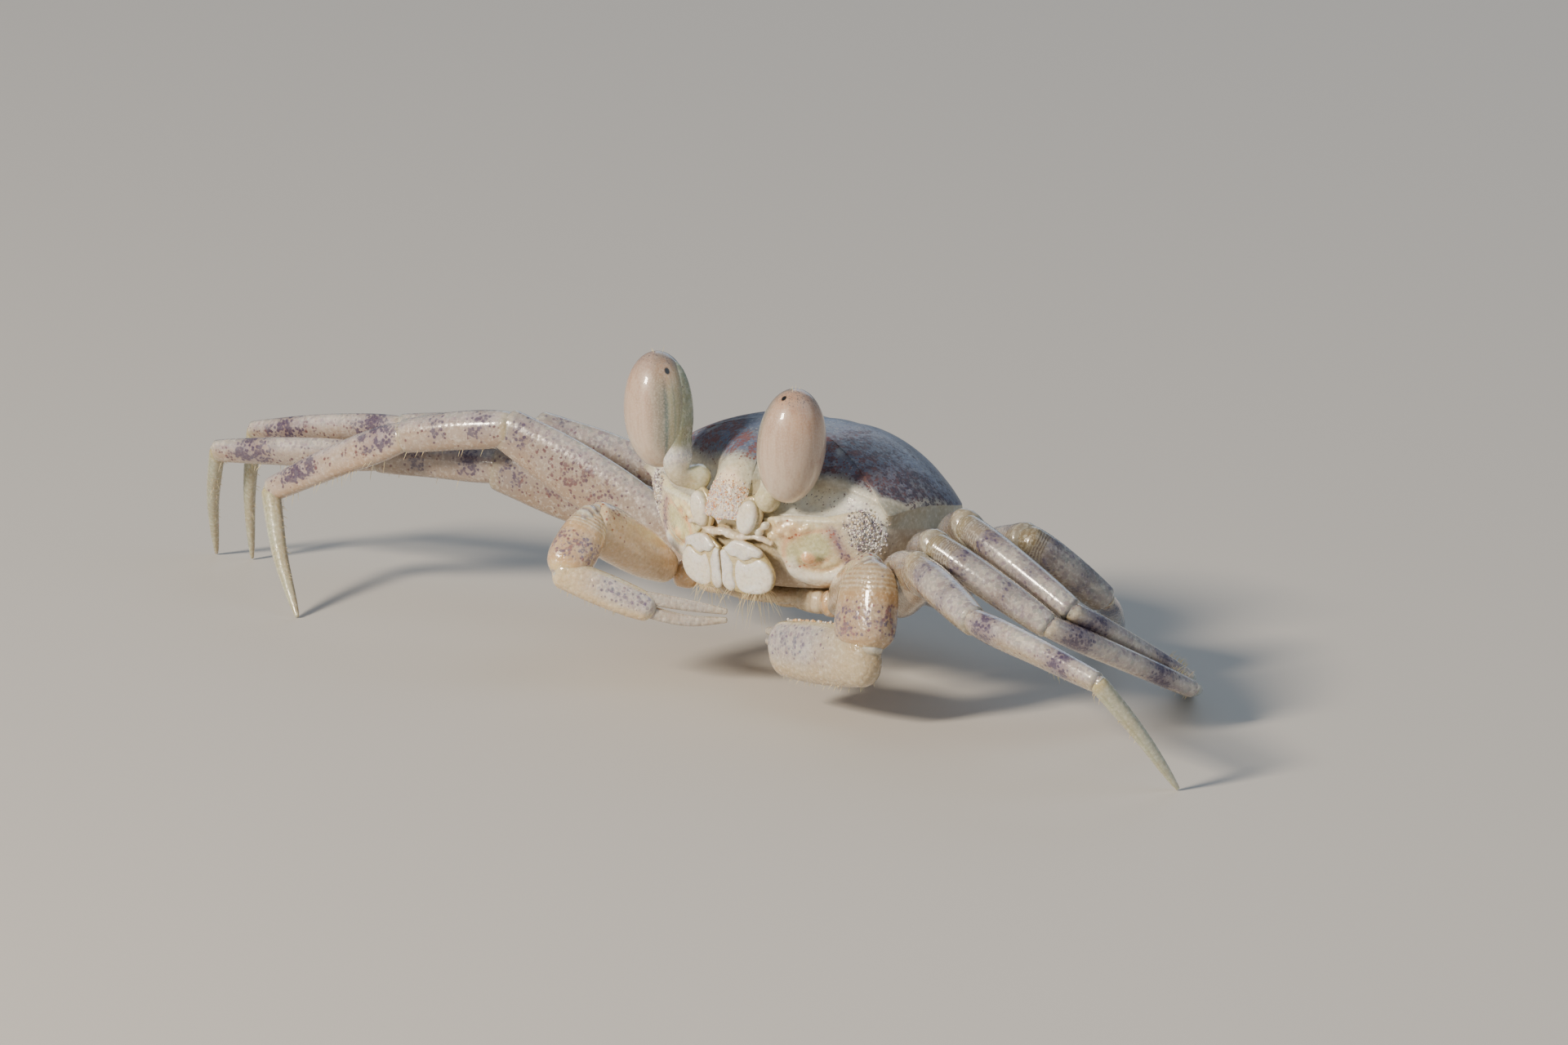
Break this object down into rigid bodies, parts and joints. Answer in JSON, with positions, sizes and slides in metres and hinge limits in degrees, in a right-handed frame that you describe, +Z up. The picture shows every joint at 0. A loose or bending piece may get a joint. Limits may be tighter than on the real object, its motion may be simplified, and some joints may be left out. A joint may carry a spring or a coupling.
{
  "type": "ghost crab",
  "caption": "Life-size model of a young ghost crab standing low on its legs, claws folded under the mouth and tall oval eyes raised.",
  "frame": {"origin": "on the floor, under the middle of the whole crab's bounding box", "axes": "+Z up, -Y the way the crab faces, +X the crab's left"},
  "size_m": [0.0842, 0.034, 0.0206],
  "materials": {
    "shell": "wet horny shell, cream with purple and rust speckles",
    "face_plates": "wet cream plates, in part see-through",
    "legs": "thin pale shell over pale flesh, purple star-shaped spots",
    "claws": "thin beige shell with granules and speckles",
    "toes": "pale yellow-green horny points",
    "cornea": "smooth glossy eye surface, pinkish beige",
    "eyestalk": "smooth olive skin-like shell"
  },
  "bodies": {
    "root": {"abdomen": "face_plates", "antennule_left": "face_plates", "antennule_right": "face_plates", "carapace": "shell", "cheek_left": "face_plates", "cheek_right": "face_plates", "claw_left_carpus": "claws", "claw_left_finger": "claws", "claw_left_ischium": "claws", "claw_left_merus": "claws", "claw_left_palm": "claws", "claw_right_carpus": "claws", "claw_right_finger": "claws", "claw_right_ischium": "claws", "claw_right_merus": "claws", "claw_right_palm": "claws", "eye_left": "cornea", "eye_right": "cornea", "eyestalk_left": "eyestalk", "eyestalk_right": "eyestalk", "leg_left_2_carpus": "legs", "leg_left_2_dactyl": "toes", "leg_left_2_merus": "legs", "leg_left_2_propodus": "legs", "leg_left_3_carpus": "legs", "leg_left_3_dactyl": "toes", "leg_left_3_merus": "legs", "leg_left_3_propodus": "legs", "leg_left_4_carpus": "legs", "leg_left_4_dactyl": "toes", "leg_left_4_merus": "legs", "leg_left_4_propodus": "legs", "leg_left_5_carpus": "legs", "leg_left_5_dactyl": "toes", "leg_left_5_merus": "legs", "leg_left_5_propodus": "legs", "leg_right_2_carpus": "legs", "leg_right_2_dactyl": "toes", "leg_right_2_merus": "legs", "leg_right_2_propodus": "legs", "leg_right_3_carpus": "legs", "leg_right_3_dactyl": "toes", "leg_right_3_merus": "legs", "leg_right_3_propodus": "legs", "leg_right_4_carpus": "legs", "leg_right_4_dactyl": "toes", "leg_right_4_merus": "legs", "leg_right_4_propodus": "legs", "leg_right_5_carpus": "legs", "leg_right_5_dactyl": "toes", "leg_right_5_merus": "legs", "leg_right_5_propodus": "legs", "maxilliped_left": "face_plates", "maxilliped_right": "face_plates", "sternum": "face_plates"}
  },
  "joints": []
}
